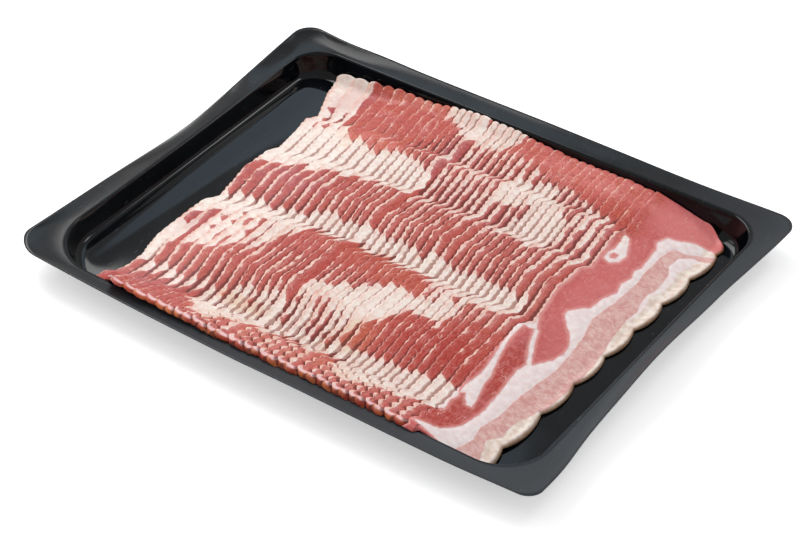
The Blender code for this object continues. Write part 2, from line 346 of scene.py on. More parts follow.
# Fat and muscle, as outlines in plan in millimetres. Each outline sets the share of a
# strip's width that is fat, counted from the rasher's left edge, inside its border.
fatOutlines = {
    "stripedShoulder": (0.37, 6, [(-22, 98), (-1, 99), (13, 100), (23, 94), (32, 86), (45, 87), (64, 85),
                                  (73, 81), (82, 78), (89, 78), (96, 67), (96, 34), (54, 36), (17, 35),
                                  (-22, 35)]),
    "backLeftFringe": (0.92, 5, [(-130, 113), (-113, 118), (-103, 118), (-101, 106), (-98, 95), (-95, 86),
                                 (-104, 88), (-125, 92)]),
    "backLeftStripes": (0.56, 5, [(-125, 92), (-104, 88), (-95, 86), (-91, 72), (-90, 66), (-122, 58)]),
    "creamBand": (1.35, 6, [(-120, 62), (-92, 66), (-80, 62), (-70, 58), (-60, 58), (-50, 62), (-38, 62),
                            (-29, 58), (-24, 50), (-21, 45), (-25, 38), (-38, 40), (-48, 37), (-57, 37),
                            (-71, 35), (-85, 33), (-102, 29), (-120, 31)]),
    "creamLumps": (1.3, 5, [(40, 58), (43, 71), (53, 71), (60, 59), (64, 46), (60, 40), (51, 38),
                            (40, 40)]),
    "whiteLeafLeft": (1.2, 4, [(21, 80), (28, 80), (30, 63), (25, 58), (20, 63)]),
    "whiteLeafRight": (1.2, 4, [(32, 85), (42, 85), (43, 69), (36, 67), (32, 74)]),
    "backCream": (0.92, 5, [(-48, 126), (-20, 126), (-1, 125), (7, 111), (-1, 100), (-11, 98), (-20, 102),
                           (-31, 98), (-37, 104), (-48, 108)]),
    "creamBelt": (1.35, 7, [(-120, -11), (-90, -12), (-76, -14), (-62, -12), (-50, -5), (-38, -5),
                            (-27, -5), (-1, -5), (36, -4), (56, -4), (77, -6), (79, -13), (73, -17),
                            (54, -17), (36, -16), (17, -14), (-1, -14), (-20, -15), (-48, -16),
                            (-55, -24), (-71, -26), (-85, -22), (-102, -23), (-120, -25)]),
    "pinkMottle": (0.6, 4, [(32, -16), (56, -17), (54, -32), (36, -32), (30, -24)]),
    "leftMottle": (0.62, 5, [(-89, -23), (-57, -23), (-59, -35), (-64, -43), (-74, -49), (-85, -56),
                             (-98, -58), (-100, -35)]),
    "leftColumn": (1.1, 4, [(-124, -40), (-109, -44), (-109, -78), (-124, -78)]),
    "frontLeft": (0.07, 5, [(-124, -93), (-66, -96), (-58, -110), (-60, -124), (-124, -124)]),
    "diagonalCream": (1.2, 5, [(10, -36), (27, -33), (55, -32), (55, -45), (36, -41), (30, -49),
                               (27, -59), (17, -63), (6, -67), (-6, -65), (-20, -59), (-20, -56),
                               (-9, -52), (2, -49), (8, -43)]),
    "diagonalMottle": (0.6, 5, [(-18, -59), (19, -64), (23, -74), (8, -84), (-11, -89), (-24, -78)]),
    "hookFat": (0.64, 5, [(-102, -84), (-57, -84), (-43, -76), (-29, -71), (-20, -76), (-18, -88),
                         (-57, -90), (-102, -90)]),
    "frontCream": (1.1, 5, [(-59, -92), (-20, -90), (-1, -90), (27, -89), (34, -83), (54, -85),
                            (71, -82), (89, -79), (93, -87), (93, -97), (68, -98), (56, -100),
                            (45, -107), (34, -104), (32, -95), (-1, -95), (-20, -97), (-37, -104),
                            (-52, -109), (-59, -102)]),
}
# Muscle where the rashers cling together, so that their edges hardly show: how much, border
smoothOutlines = {
    "backLeftMuscle": (0.98, 7, [(-97, 95), (-100, 107), (-83, 113), (-57, 114), (-47, 108), (-38, 102),
                           (-37, 95), (-42, 86), (-48, 80), (-52, 74), (-62, 70), (-76, 71), (-87, 73),
                           (-91, 78), (-94, 85)]),
    "backMuscle": (0.92, 5, [(-1, 99), (2, 111), (8, 122), (45, 122), (87, 123), (125, 120), (120, 85),
                       (97, 71), (88, 79), (73, 83), (54, 89), (36, 94), (22, 98), (8, 103)]),
    "middleMuscle": (0.55, 7, [(-48, -17), (-29, -16), (-1, -15), (17, -17), (30, -20), (34, -30),
                         (17, -33), (-1, -34), (-20, -34), (-38, -37), (-53, -35)]),
    "deepMuscle": (0.65, 6, [(55, -35), (90, -36), (95, -54), (95, -76), (73, -78), (54, -83), (32, -81),
                       (25, -76), (23, -63), (31, -54), (36, -44), (53, -45)]),
}
# Tints of the muscle: middle x, y, half widths, how far to orange (or purple below 0), depth
muscleTints = (
    (-68, 90, 30, 18, 0.15, -0.1),
    (-108, 98, 13, 20, -0.9, 0.0),
    (-70, 67, 30, 9, 0.6, -0.5),
    (-70, 113, 30, 5, 0.75, -0.2),
    (50, 105, 50, 14, 0.35, -0.5),
    (85, 84, 18, 8, 0.6, 0.75),
    (40, 60, 60, 26, -0.45, 0.0),
    (-25, 80, 8, 26, -0.7, 0.0),
    (0, 18, 120, 14, 0.1, 0.1),
    (-88, 16, 34, 16, -0.65, 0.0),
    (-5, -24, 45, 12, 0.6, 0.5),
    (-35, -50, 28, 22, -0.1, 0.5),
    (-108, -40, 10, 16, -0.9, 0.7),
    (-70, -72, 30, 16, 0.1, 0.1),
    (62, -60, 36, 24, 0.35, 1.0),
    (24, -78, 12, 16, 1.0, 0.2),
    (-40, -88, 22, 6, 1.0, 0.0),
    (-90, -103, 30, 12, -0.5, -0.1),
    (0, -106, 80, 11, 0.6, -0.4),
    (103, 20, 14, 60, -0.3, -0.45),
    (105, -25, 12, 20, -0.4, -0.35),
    (98, -58, 8, 36, -0.5, 0.9),
    (92, -100, 12, 12, -0.1, 0.9),
    (118, 102, 22, 16, -0.8, -0.85),
)


def signedDistance(x, y, outline):
    # distance to a closed outline, positive inside
    nearest = np.full(x.shape, 1e9)
    inside = np.zeros(x.shape, bool)
    for (x0, y0), (x1, y1) in zip(outline, outline[1:] + outline[:1]):
        runX, runY = x1 - x0, y1 - y0
        along = np.clip(((x - x0) * runX + (y - y0) * runY) / (runX**2 + runY**2), 0, 1)
        nearest = np.minimum(nearest, np.hypot(x - x0 - along * runX, y - y0 - along * runY))
        crosses = (y0 > y) != (y1 > y)
        with np.errstate(divide="ignore", invalid="ignore"):
            inside ^= crosses & (x < x0 + (y - y0) * runX / (runY or 1e-9))
    return np.where(inside, nearest, -nearest)


# The rashers
pile = {
    "span": 41.2 * mm,
    "thickness": 1.1 * mm,
    "gap": 0.25 * mm,
    "lipShare": 0.17,  # share of a strip that is its pale lip, in plain muscle
    "rowStep": 0.8 * mm,
    "endStep": 0.35 * mm,
    "endLength": 5 * mm,
    "frontReach": (113.0 * mm, 118.0 * mm),  # low in the pile, high in it
    "overRim": (122.2 * mm, 120.9 * mm),  # reach of the ends over the rim: at the left, right
    "knobRise": 1.2 * mm,
    "backReach": (113.2 * mm, 117.4 * mm),
    "cornerRound": 3.3 * mm,
    "lumpLength": 4.6 * mm,
    "lumpDepth": 0.85 * mm,
    "lumpRise": 0.4 * mm,
    "scaleLength": 5.2 * mm,  # the ends along the front overlap like scales
    "relief": 0.25 * mm,
    "reliefSize": 3.0 * mm,
    "seed": 11,
}
# The last rasher, which lies uncovered: outlines in plan, in mm
topRasher = {
    "columns": 72,
    "underColumns": 12,
    "rowStep": 0.7 * mm,
    "reach": (113.4 * mm, 116.8 * mm),  # front, back
    "rightEdge": 131.5,
    "rightLean": 0.05,  # the right edge leans outwards towards the back
    # where the scallops of the right edge meet, and how far they stand out
    "notches": (-124, -93, -61.5, -33.6, -6.8, 19.2, 45.5, 71.5, 98, 124),
    "scallopDepth": 3.4,
    "rindRise": 1.3 * mm,
    "rindWidth": 2.4 * mm,
    "boxScallop": 1.2 * mm,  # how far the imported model's scallops stand out
}
seamInner = [(131.3, 98.3), (121.5, 97.3), (113.6, 91.6), (108.9, 89.5), (106.6, 82.4), (108.9, 77.4),
             (109.7, 68.3), (110.5, 60.2), (108.9, 55.1), (110.5, 50.0), (108.9, 42.1), (110.5, 35.1),
             (107.4, 25.0), (106.6, 15.5), (103.4, 12.0), (99.5, 5.4), (99.5, 1.7), (104.2, -3.6),
             (108.9, -8.0), (112.9, -14.4), (113.6, -21.7), (112.1, -28.6), (106.6, -39.2),
             (104.2, -40.8), (102.6, -48.6), (105.0, -66.6), (105.8, -84.9), (103.4, -96.7),
             (97.9, -107.4), (86.1, -114.1)]
seamOuter = [(136.9, 93.7), (129.4, 91.8), (121.5, 86.2), (115.2, 84.6), (113.6, 74.9), (113.6, 56.3),
             (114.4, 47.3), (113.6, 28.5), (112.1, 18.8), (111.3, 11.2), (114.4, -3.8), (116.0, -17.4),
             (116.8, -31.1), (115.2, -45.4), (113.6, -59.7), (112.9, -78.5), (110.5, -91.2),
             (112.1, -99.1), (108.9, -116)]
rindInner = [(137.5, 89.0), (126.2, 87.4), (120.7, 81.3), (119.9, 71.9), (123.1, 66.2), (123.9, 54.3),
             (122.3, 41.8), (124.7, 31.3), (123.9, 21.8), (125.5, 3.6), (127.5, -5), (128.6, -16),
             (129.2, -27), (128.6, -37), (128.2, -50), (127.6, -58), (125.2, -62), (121.3, -74.3),
             (120.3, -79.3), (121, -88), (116.5, -95.3), (120.8, -106), (121, -118)]
topFat = (
    seamInner + seamOuter[::-1],
    rindInner + [(150, -118), (150, 89)],
    [(86.9, -5.2), (90.8, -8.9), (95.6, -17.9), (88.5, -19.7), (88.5, -30.8), (90.0, -39.7),
     (92.4, -49.3), (95.6, -59.7), (96.3, -66.9), (98.7, -75.6), (100.3, -83.5), (96.3, -84.5),
     (93.2, -77.9), (90.8, -80.4), (90.0, -74.1), (91.6, -62.5), (90.0, -49.9), (87.7, -39.4),
     (86.1, -24.9), (85.3, -14.0)],
    [(93.2, -15.7), (96.3, -24.2), (99.5, -31.7), (104.2, -40.8), (106.6, -40.2), (102.6, -32.8),
     (98.7, -24.5), (96.3, -17.7)],
    [(90.8, 74.7), (94.8, 72.9), (97.9, 66.3), (100.3, 61.3), (99.5, 54.6), (96.3, 50.1), (92.4, 51.0),
     (91.6, 56.3), (93.2, 60.5), (92.4, 67.7)],
    [(80, -79), (89, -78), (94, -86), (95, -97), (80, -99)],
)
topMuscle = (
    [(94.0, 58.8), (97.1, 58.7), (97.1, 54.9), (94.8, 53.4), (93.2, 55.8)],
    [(89.3, -19.5), (94.0, -19.2), (97.1, -26.8), (100.3, -35.3), (102.6, -44.0), (103.4, -53.0),
     (105.0, -66.6), (105.8, -80.3), (104.2, -90.9), (101.1, -85.2), (98.7, -75.6), (96.3, -66.9),
     (95.6, -59.7), (92.4, -49.3), (90.0, -39.7), (88.5, -29.9)],
    [(92.4, -79.0), (96.3, -82.7), (99.5, -89.3), (101.8, -97.1), (97.9, -105.5), (90.0, -109.3),
     (79.8, -106.9), (76.1, -101.4), (86.1, -96.4), (91.6, -94.1), (90.0, -87.1)],
)

rasherNames = sorted(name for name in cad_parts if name.startswith("rasher"))
floorTop = tray["sheet"] + pile["gap"]
lineY = np.arange(-0.122, 0.122, 0.25 * mm)  # where the wandering edges are worked out


def heightAt(line, x):
    # height of a polyline, carried on straight past its ends
    xs, zs = np.array(line).T
    spot = np.clip(np.searchsorted(xs, x) - 1, 0, len(xs) - 2)
    slope = (zs[spot + 1] - zs[spot]) / (xs[spot + 1] - xs[spot])
    return zs[spot] + (x - xs[spot]) * slope


def taut(points):
    # the tightest line that arches over all the points
    line = []
    for x, z in points:
        while len(line) > 1:
            (x0, z0), (x1, z1) = line[-2:]
            if (z1 - z0) * (x - x0) > (z - z0) * (x1 - x0):
                break
            line.pop()
        line.append((x, z))
    return line


def drapePile():
    # the underside of every rasher from its left edge on, each laid over the one before
    undersides = []
    lift = pile["thickness"] + pile["gap"]
    for name in rasherNames:
        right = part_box(name)[1].x
        if name == rasherNames[-1]:
            right -= topRasher["boxScallop"]
        left = right - pile["span"]
        if not undersides:
            undersides.append([(left, floorTop), (right, floorTop)])
            continue
        below = undersides[-1]
        points = [(left, float(heightAt(below, left)) + lift)]
        points += [(x, z + lift) for x, z in below if x > left]
        undersides.append(taut(points + [(right, floorTop)]))
    return undersides


undersides = drapePile()
pileTop = max(line[0][1] for line in undersides)
leftEdges = [line[0][0] for line in undersides]


def waves(rng, y, length):
    # a smooth random line along y, about -1 to 1, with humps of about this length
    knots = np.arange(-0.16, 0.16 + length, length)
    values = rng.uniform(-1, 1, len(knots))
    spot = (y - knots[0]) / length + rng.uniform(0, 1) * 0.5
    low = np.clip(spot.astype(int), 0, len(knots) - 2)
    share = spot - low
    share = share * share * (3 - 2 * share)
    return values[low] * (1 - share) + values[low + 1] * share


# how the left edges wander: y, and shift to the right there for rashers at the pile's left
# side, middle and right side, in mm
edgeWander = (
    (-118, -3.5, -2.0, -1.0), (-101, -1.0, -2.0, -1.0), (-96, 2.4, 4.0, 1.6), (-78, 2.2, 2.0, 0.8),
    (-60, -2.4, -3.2, -1.2), (-50, -2.6, -2.2, -1.0), (-38, -2.0, -1.8, -1.2), (-21, -2.0, -2.4, -2.0),
    (-14, 3.0, 3.0, 2.6), (0, 0.6, 0.6, 0.4), (16, -2.8, -2.8, -2.2), (22, -1.4, -1.4, -1.0),
    (35, -1.4, -1.4, -1.4), (41, 2.2, 2.4, 2.2), (56, 0.2, 0.2, 0.2), (72, -2.4, -2.4, -1.8),
    (77, 1.8, 1.8, 1.2), (100, -1.6, -1.6, -1.0), (106, -1.2, -1.2, -1.0), (118, -1.6, -1.6, -1.4))


def wanderingEdges():
    # each rasher's left edge along lineY: its x, and how far its lumps stand out
    rng = np.random.default_rng(pile["seed"])
    ys, *shifts = np.array(edgeWander).T * mm
    phase, slide = 0.0, 0.0
    edges, lumps = [], []
    for left in leftEdges:
        phase += rng.uniform(-0.35, 0.55)
        slide = 0.6 * slide + rng.uniform(-1.2, 1.2) * mm
        swing = phase + 0.8 * waves(rng, lineY, 17 * mm)
        lump = np.abs(np.sin(math.pi * (lineY / pile["lumpLength"] + swing)))
        lump = lump * (0.65 + 0.35 * waves(rng, lineY, 6 * mm))
        ym, fromLeft = lineY / mm, left / mm
        flare = 8.5 * smoothstep(72, 112, ym) * (1 - smoothstep(-117, -90, fromLeft))
        flare = flare + 2.0 * smoothstep(-80, -104, ym) * (1 - smoothstep(-117, -95, fromLeft))
        flare = flare + 2.0 * smoothstep(-88, -102, ym) * (1 - smoothstep(-60, -20, fromLeft))
        wander = [np.interp(lineY + slide, ys, shift) for shift in shifts]
        middle = smoothstep(-95, -55, fromLeft)
        right = smoothstep(5, 45, fromLeft)
        wander = (wander[0] * (1 - middle) + wander[1] * middle) * (1 - right) + wander[2] * right
        scales = smoothstep(-90, -97, ym) * smoothstep(-62, -40, fromLeft)
        rounded = np.abs(np.sin(math.pi * (lineY / pile["scaleLength"] + 0.5 * (len(edges) % 2))))
        lump = lump + (rounded - lump) * scales
        x = left + wander - lump * pile["lumpDepth"] * (1 + 1.4 * scales) - flare * mm
        edges.append(x + 0.45 * mm * waves(rng, lineY, 24 * mm))
        lumps.append(lump)
    return np.array(edges), np.array(lumps)


edgeLines, lumpLines = wanderingEdges()


def climb(x, y):
    # rise of the ends where they ride up on the walls: alike for all rashers of the pile
    xm, ym = x / mm, y / mm
    backLeft = 8.8 * (1 - smoothstep(-112, -58, xm)) + 4.2 * np.exp(-(((xm + 28) / 36) ** 2))
    back = backLeft * smoothstep(104, 117.5, ym) ** 1.5
    crest = np.interp(x, leftEdges, [line[0][1] for line in undersides])
    toRim = (tray["rimHeight"] - crest) / mm + 0.4 + 0.9 * smoothstep(-100, -60, xm)
    slow = np.maximum(4.4, 0.35 * toRim) * smoothstep(-128, -104, xm)
    front = slow * smoothstep(-97, -114.5, ym)
    front = front + (toRim - slow) * smoothstep(-112.5, -117.3, ym) * smoothstep(-112, -98, xm)
    front = front - 0.9 * smoothstep(-100, -60, xm) * smoothstep(-117.6, -121, ym)
    return (back + front * (1 - smoothstep(88, 118, xm))) * mm


def frontEnd(X, under, reach):
    # how far the front end reaches: to the wall, or over the rim wherever it lies higher
    height = (under + climb(X, np.full(X.shape, -0.1185)) - tray["rimHeight"]) / mm
    reach = np.maximum(reach, 117.9 * mm + np.minimum(height, 0) * math.tan(tray["wallDraft"]) * mm)
    left, right = pile["overRim"]
    over = left + (right - left) * smoothstep(-40, 30, X / mm)
    return reach + (over - reach) * smoothstep(0.0, 0.12, height)


def wallRoom(height):
    # how far from the middle the front and back walls leave room at a height
    draft, fillet = tray["wallDraft"], tray["floorFillet"]
    rise = np.clip(height - tray["sheet"], 0, None)
    filletRise = fillet * (1 - math.sin(draft))
    wallRise = tray["rimHeight"] - tray["sheet"] - filletRise - tray["rimRound"] * (1 - math.sin(draft))
    foot = (tray["rimWidth"] / 2 - wallRise * math.tan(draft)
            - (fillet + tray["rimRound"]) * math.cos(draft))
    onFillet = np.sqrt(np.clip(rise * (2 * fillet - rise), 0, None))
    onWall = fillet * math.cos(draft) + (rise - filletRise) * math.tan(draft)
    return foot + np.where(rise < filletRise, onFillet, onWall) - 2 * pile["gap"]


def backEnd(X, under, level, reach):
    # how far the back end reaches before it meets the wall
    for _ in range(4):
        height = under + climb(X, reach) + 0.5 * np.clip(reach - 0.1095, 0, None) * (1 - level)
        reach = np.minimum(reach, wallRoom(height))
    return reach


def sharesInside(x, y):
    # share of fat, how smoothly the rashers cling together, tint and depth of the muscle
    share = np.full(x.shape, pile["lipShare"])
    for amount, soft, outline in fatOutlines.values():
        inside = smoothstep(-soft, soft * 0.4, signedDistance(x, y, outline))
        share = share + (amount - share) * inside
    smooth = np.zeros(x.shape)
    for amount, soft, outline in smoothOutlines.values():
        inside = smoothstep(-soft, soft * 0.5, signedDistance(x, y, outline))
        smooth = np.maximum(smooth, amount * inside)
    tint, depth = np.zeros(x.shape), np.zeros(x.shape)
    for middleX, middleY, reachX, reachY, orange, deep in muscleTints:
        weight = np.exp(-(((x - middleX) / reachX) ** 2 + ((y - middleY) / reachY) ** 2) ** 1.5)
        tint = tint + (orange - tint) * weight
        depth = depth + (deep - depth) * weight
    return share, smooth, tint, depth


def rasherRows(step):
    # places along a rasher, closer together at its ends
    half = 0.112
    middle = np.linspace(-half, half, int(round(2 * half / step)) + 1)
    ends = np.arange(1, int(pile["endLength"] / pile["endStep"]) + 1) * pile["endStep"]
    return np.concatenate([-half - ends[::-1], middle, half + ends])


def reliefTree():
    # raises and lowers the shown side of a rasher, and gives it its material
    tree = bpy.data.node_groups.new("sliceRelief", "GeometryNodeTree")
    entry = tree.interface.new_socket
    entry(name="Geometry", in_out="INPUT", socket_type="NodeSocketGeometry")
    entry(name="Geometry", in_out="OUTPUT", socket_type="NodeSocketGeometry")
    for name, kind in (("Relief", "NodeSocketFloat"), ("Relief size", "NodeSocketFloat"),
                       ("Slice", "NodeSocketFloat"), ("Meat", "NodeSocketMaterial")):
        entry(name=name, in_out="INPUT", socket_type=kind)
    board = Board(tree)
    inputs = tree.nodes.new("NodeGroupInput").outputs
    given = {name: Wire(board, inputs[name]) for name in ("Relief", "Relief size", "Slice", "Meat")}
    shown = board.add("GeometryNodeInputNamedAttribute", {"data_type": "FLOAT"}, {"Name": "shown"})
    place = board.add("GeometryNodeInputPosition")
    frequency = board.add("ShaderNodeMath", {"operation": "DIVIDE"}, {0: 1.0, 1: given["Relief size"]})
    cloud = board.add("ShaderNodeTexNoise", {"noise_dimensions": "4D"},
                      {"Vector": place, "W": given["Slice"], "Scale": frequency, "Detail": 2.0})
    rise = (cloud - 0.5) * 2.0 * given["Relief"] * shown
    offset = board.add("ShaderNodeCombineXYZ", None, {"Z": rise})
    moved = board.add("GeometryNodeSetPosition", None,
                      {"Geometry": Wire(board, inputs["Geometry"]), "Offset": offset})
    real = board.add("GeometryNodeRealizeInstances", None, {"Geometry": moved})
    done = board.add("GeometryNodeSetMaterial", None, {"Geometry": real, "Material": given["Meat"]})
    tree.links.new(done.socket, tree.nodes.new("NodeGroupOutput").inputs["Geometry"])
    return tree


def finishRasher(index, name, rings, fields, meat, relief):
    # a closed sheet from rings of points round each row, then relief, material and place
    count, around = rings.shape[:2]
    numbers = np.arange(count * around).reshape(count, around)
    following = np.roll(numbers, -1, 1)
    faces = np.stack([numbers[:-1], numbers[1:], following[1:], following[:-1]], -1).reshape(-1, 4)
    faces = faces.tolist() + [numbers[0].tolist(), numbers[-1, ::-1].tolist()]
    piece = newPiece(f"bacon_{name}", rings.reshape(-1, 3), faces, meat, fields)
    modifier = piece.modifiers.new("relief", "NODES")
    modifier.node_group = relief
    values = {"Relief": pile["relief"], "Relief size": pile["reliefSize"],
              "Slice": float(index), "Meat": meat}
    for item in relief.interface.items_tree:
        if item.in_out == "INPUT" and item.name in values:
            modifier[item.identifier] = values[item.name]
    applyModifiers(piece)
    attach(piece, "root")
    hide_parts(name)


acrossTop = np.array([0.0, 0.12, 0.32, 0.6, 0.95, 1.4, 1.9, 2.5, 3.1, 3.8, 4.5, 5.2, 6.0, 6.8, 7.6, 8.4,
                      9.4, 10.6, 13.0, 18.0, 26.0, 34.0, 41.2]) * mm
acrossUnder = np.array([41.0, 30.0, 18.0, 9.0, 3.0, 0.3]) * mm


def buildRasher(index, meat, relief):
    # one of the covered rashers, of which only the strip along the left edge shows
    name = rasherNames[index]
    rng = np.random.default_rng(pile["seed"] + 1 + index)
    line, left = undersides[index], leftEdges[index]
    rows = rasherRows(pile["rowStep"])
    across = np.concatenate([acrossTop, acrossUnder])
    upper = np.arange(len(across)) < len(acrossTop)
    Y, A = np.meshgrid(rows, across, indexing="ij")
    edge = np.interp(rows, lineY, edgeLines[index])[:, None]
    nextEdge = np.interp(rows, lineY, edgeLines[index + 1])[:, None]
    lump = np.interp(rows, lineY, lumpLines[index])[:, None]
    drift = waves(rng, rows, 14 * mm)[:, None]
    fade = np.clip(1 - A / (12 * mm), 0, 1)
    X = left + A + (edge - left) * fade
    under = heightAt(line, X)
    level = np.clip((under - floorTop) / (pileTop - floorTop), 0, 1)
    half = np.abs(rows).max()
    pitch = (nextEdge - edge).mean()
    fromMiddle = np.clip(np.abs(A - 0.5 * pitch) / (0.54 * pitch), 0, 1)
    for side, key in ((-1, "frontReach"), (1, "backReach")):
        low, high = pile[key]
        corner = pile["cornerRound"] * (1 - np.sqrt(1 - fromMiddle**2)) * (A < pitch)
        reach = low + (high - low) * level
        reach = frontEnd(X, under, reach) if side < 0 else backEnd(X, under, level, reach)
        reach = reach - corner + rng.uniform(-0.4, 0.4) * mm
        beyond = np.clip(side * Y - 0.104, 0, None)
        Y = Y + side * beyond * (reach - half) / (half - 0.104)
    toEnd = np.minimum(rows - rows[0], rows[-1] - rows)[:, None]
    endRound = np.sqrt(np.clip(1 - (1 - np.clip(toEnd / (2.0 * mm), 0, 1)) ** 2, 0.02, 1))
    jitter = waves(rng, rows, 40 * mm)[:, None] * 1.4 + rng.uniform(-2.2, 2.2)
    share, smooth, tint, depth = sharesInside(X / mm, Y / mm + jitter)
    uneven = 1 - smooth
    striped = np.exp(-((share - 0.7) / 0.32) ** 2)
    quick = waves(rng, rows, 4.6 * mm)[:, None]
    cream = smoothstep(0.85, 1.25, share)
    share = share + (drift * (0.06 + 0.2 * striped) + quick * (0.04 + 0.34 * striped)) * uneven
    share = share * uneven + (0.28 * quick - 0.1) * smooth
    width = nextEdge - edge
    fat = (share * width + lump * pile["lumpDepth"] * 0.7 * uneven - A) / mm
    lipRadius = (0.9 + 2.0 * smooth) * mm
    nose = np.sqrt(np.clip(1 - (1 - np.clip((A + 0.06 * mm) / lipRadius, 0, 1)) ** 2, 0, 1))
    slope = smoothstep(-0.4, 1.05, A / pitch)
    eased = np.maximum(0.95 * smooth, 0.5 * cream)
    nose = nose + (slope - nose) * eased
    bead = pile["lumpRise"] * lump * np.exp(-((A / mm - 0.9) / 0.8) ** 2) * uneven
    tip = (Y - Y.min(0)[None, :]) / mm
    knob = (1 - fromMiddle**2) * smoothstep(-112, -100, X / mm) * smoothstep(100, 88, X / mm)
    swell = pile["knobRise"] * knob * np.exp(-(((tip - 1.0) / 1.9) ** 2))
    # from here on knob marks where the painted highlight on top of each front end goes
    knob = knob * np.exp(-(((tip - 2.6) / 1.3) ** 2))
    thickness = (pile["thickness"] * nose + bead + swell) * endRound
    Z = under + np.where(upper, thickness, 0.0)
    Z = Z + 0.5 * np.clip(np.abs(Y) - 0.1095, 0, None) * (1 - level) + climb(X, Y)
    toNext = nextEdge - edge - A
    shown = (toNext > -1.0 * mm) & upper[None, :] & (A > 0.2 * mm)
    lip = np.exp(-(A / (1.7 * mm)) ** 2) * np.clip(1.4 - share, 0, 1)
    # tip is pushed far off at the left and right, so the painted end shade stays along the middle of the
    # front
    tip = tip + 40 * smoothstep(-88, -110, X / mm) + 40 * smoothstep(88, 100, X / mm)
    # crease is the distance to the next rasher's left edge, where the material lays painted shade
    finishRasher(index, name, np.stack([X, Y, Z], -1), {
        "fat": fat, "tint": tint, "depth": depth, "pink": np.zeros(X.shape), "lip": lip,
        "slice": np.full(X.shape, index), "crease": toNext / mm + 1.7 * smooth**2,
        "tip": tip, "knob": knob, "soft": smooth, "ragged": np.ones(X.shape), "shown": shown},
        meat, relief)


def buildTopRasher(meat, relief):
    # the last rasher of the row, shown in full
    index = len(rasherNames) - 1
    line = undersides[index]
    rows = rasherRows(topRasher["rowStep"])
    half = np.abs(rows).max()
    front, back = topRasher["reach"]
    y = np.where(rows > 0, 1, -1) * (np.abs(rows) + np.clip(np.abs(rows) - 0.104, 0, None)
                                     * (np.where(rows > 0, back, front) - half) / (half - 0.104))
    ym = y / mm
    notches = topRasher["notches"]
    scallop = np.abs(np.sin(math.pi * np.interp(ym, notches, range(len(notches)))))
    right = topRasher["rightEdge"] + topRasher["rightLean"] * ym
    right += topRasher["scallopDepth"] * (scallop**0.8 - 0.55)
    right -= 17 * np.clip((ym - 92) / 24.5, 0, None) ** 3
    right = right[:, None] * mm
    edge = np.interp(y, lineY, edgeLines[index])[:, None]
    lump = np.interp(y, lineY, lumpLines[index])[:, None]
    columns = topRasher["columns"]
    share = np.linspace(0, 1, columns + 1)
    share = share - 0.35 * np.sin(2 * math.pi * share) / (2 * math.pi)  # closer at both edges
    shareUnder = np.linspace(0.985, 0.01, topRasher["underColumns"])
    along = np.concatenate([share, shareUnder])[None, :]
    upper = np.arange(along.shape[1]) < len(share)
    X = edge + (right - edge) * along
    Y = np.repeat(y[:, None], along.shape[1], 1)
    A, B = X - edge, right - X
    under = np.maximum(heightAt(line, X), floorTop)
    level = np.clip((under - floorTop) / (pileTop - floorTop), 0, 1)
    frontStretch = (frontEnd(X, under, front) - front) / (front - 0.104)
    backStretch = (backEnd(X, under, level, back) - back) / (back - 0.104)
    Y = Y - np.clip(-Y - 0.104, 0, None) * frontStretch + np.clip(Y - 0.104, 0, None) * backStretch
    xm = X / mm
    _, smooth, tint, depth = sharesInside(xm, Y / mm)
    fat = np.max([signedDistance(xm, Y / mm, outline) for outline in topFat], 0)
    for outline in topMuscle:
        fat = np.minimum(fat, -signedDistance(xm, Y / mm, outline))
    smooth = np.maximum(smooth, smoothstep(-16, -22, Y / mm))
    fat = np.maximum(fat, (1.2 + lump * 0.6) * (1 - smooth) - 0.5 * smooth - A / mm)
    pink = smoothstep(-0.6, 0.6, signedDistance(xm, Y / mm, seamOuter + rindInner[::-1]))
    lipRadius = (0.9 + 2.0 * smooth) * mm
    nose = np.sqrt(np.clip(1 - (1 - np.clip((A + 0.06 * mm) / lipRadius, 0, 1)) ** 2, 0, 1))
    tail = np.sqrt(np.clip(1 - (1 - np.clip((B + 0.05 * mm) / (1.7 * mm), 0, 1)) ** 2, 0, 1))
    bead = pile["lumpRise"] * lump * np.exp(-((A / mm - 0.9) / 0.8) ** 2) * (1 - smooth)
    puff = topRasher["rindRise"] * (0.35 + 0.65 * scallop[:, None])
    rind = puff * np.exp(-((B - 1.6 * mm) / topRasher["rindWidth"]) ** 2)
    toEnd = np.minimum(rows - rows[0], rows[-1] - rows)[:, None]
    endRound = np.sqrt(np.clip(1 - (1 - np.clip(toEnd / (2.0 * mm), 0, 1)) ** 2, 0.02, 1))
    body = (pile["thickness"] * nose * tail + bead + rind * tail) * endRound
    swell = 0.25 * mm * smoothstep(0, 2.5, fat)
    Z = under + np.where(upper, body + swell * tail * endRound, 0.0)
    Z = Z + 0.5 * np.clip(np.abs(Y) - 0.1095, 0, None) * (1 - level) + climb(X, Y)
    shown = np.clip(A / (0.4 * mm), 0, 1) * np.clip(B / (0.4 * mm), 0, 1) * upper[None, :]
    lip = np.exp(-(A / (1.7 * mm)) ** 2) * (1 - smooth)
    rindEdge = B / mm
    ragged = 1 - 0.5 * np.maximum(smoothstep(0, 16, A / mm), smoothstep(72, 60, Y / mm))
    # crease here is the distance in from the rind's outer edge: it places a painted shade line there and
    # marks the rind
    finishRasher(index, rasherNames[index], np.stack([X, Y, Z], -1), {
        "fat": fat, "tint": tint, "depth": depth, "pink": pink, "lip": lip,
        "slice": np.full(X.shape, index), "crease": 0.9 + np.clip(rindEdge, 0, 9),
        "tip": np.full(X.shape, 40.0), "soft": 0.6 * smooth * smoothstep(60, 72, Y / mm),
        "ragged": ragged, "shown": shown}, meat, relief)


